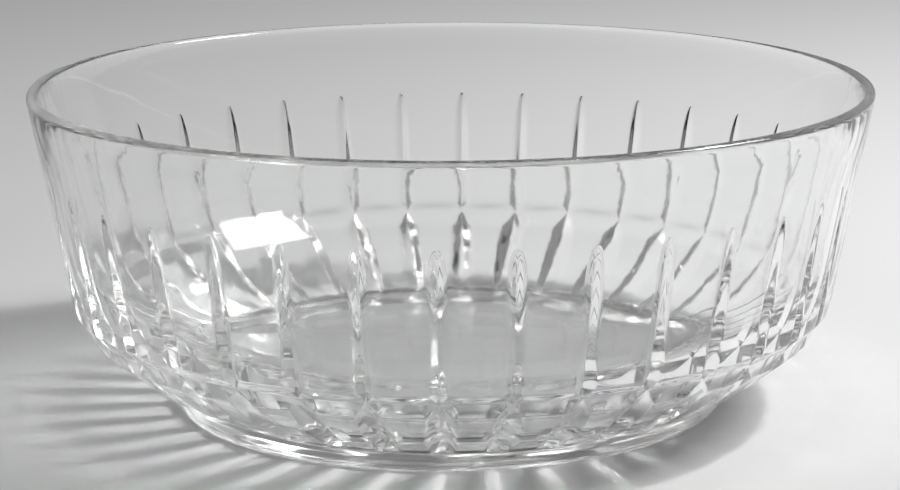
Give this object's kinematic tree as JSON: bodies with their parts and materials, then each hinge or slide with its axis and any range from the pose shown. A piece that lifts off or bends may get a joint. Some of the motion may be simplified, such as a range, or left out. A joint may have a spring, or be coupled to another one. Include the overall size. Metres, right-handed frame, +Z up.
{
  "type": "salad bowl",
  "caption": "Round clear pressed-glass salad bowl with a rounded rim, a straight flaring wall with V flutes, a bevelled shoulder, a faceted lower band and a smooth foot ring.",
  "frame": {"origin": "on the table, at the centre of the foot ring", "axes": "+Z up along the bowl's axis; X and Y level, with a flute on +X"},
  "size_m": [0.23, 0.23, 0.088],
  "materials": {
    "clear_glass": "fire-polished clear pressed glass"
  },
  "bodies": {
    "root": {"rim_lip": "clear_glass", "plain_wall": "clear_glass", "fluted_wall": "clear_glass", "facet_band": "clear_glass", "foot_ring": "clear_glass", "floor_plate": "clear_glass"}
  },
  "joints": []
}
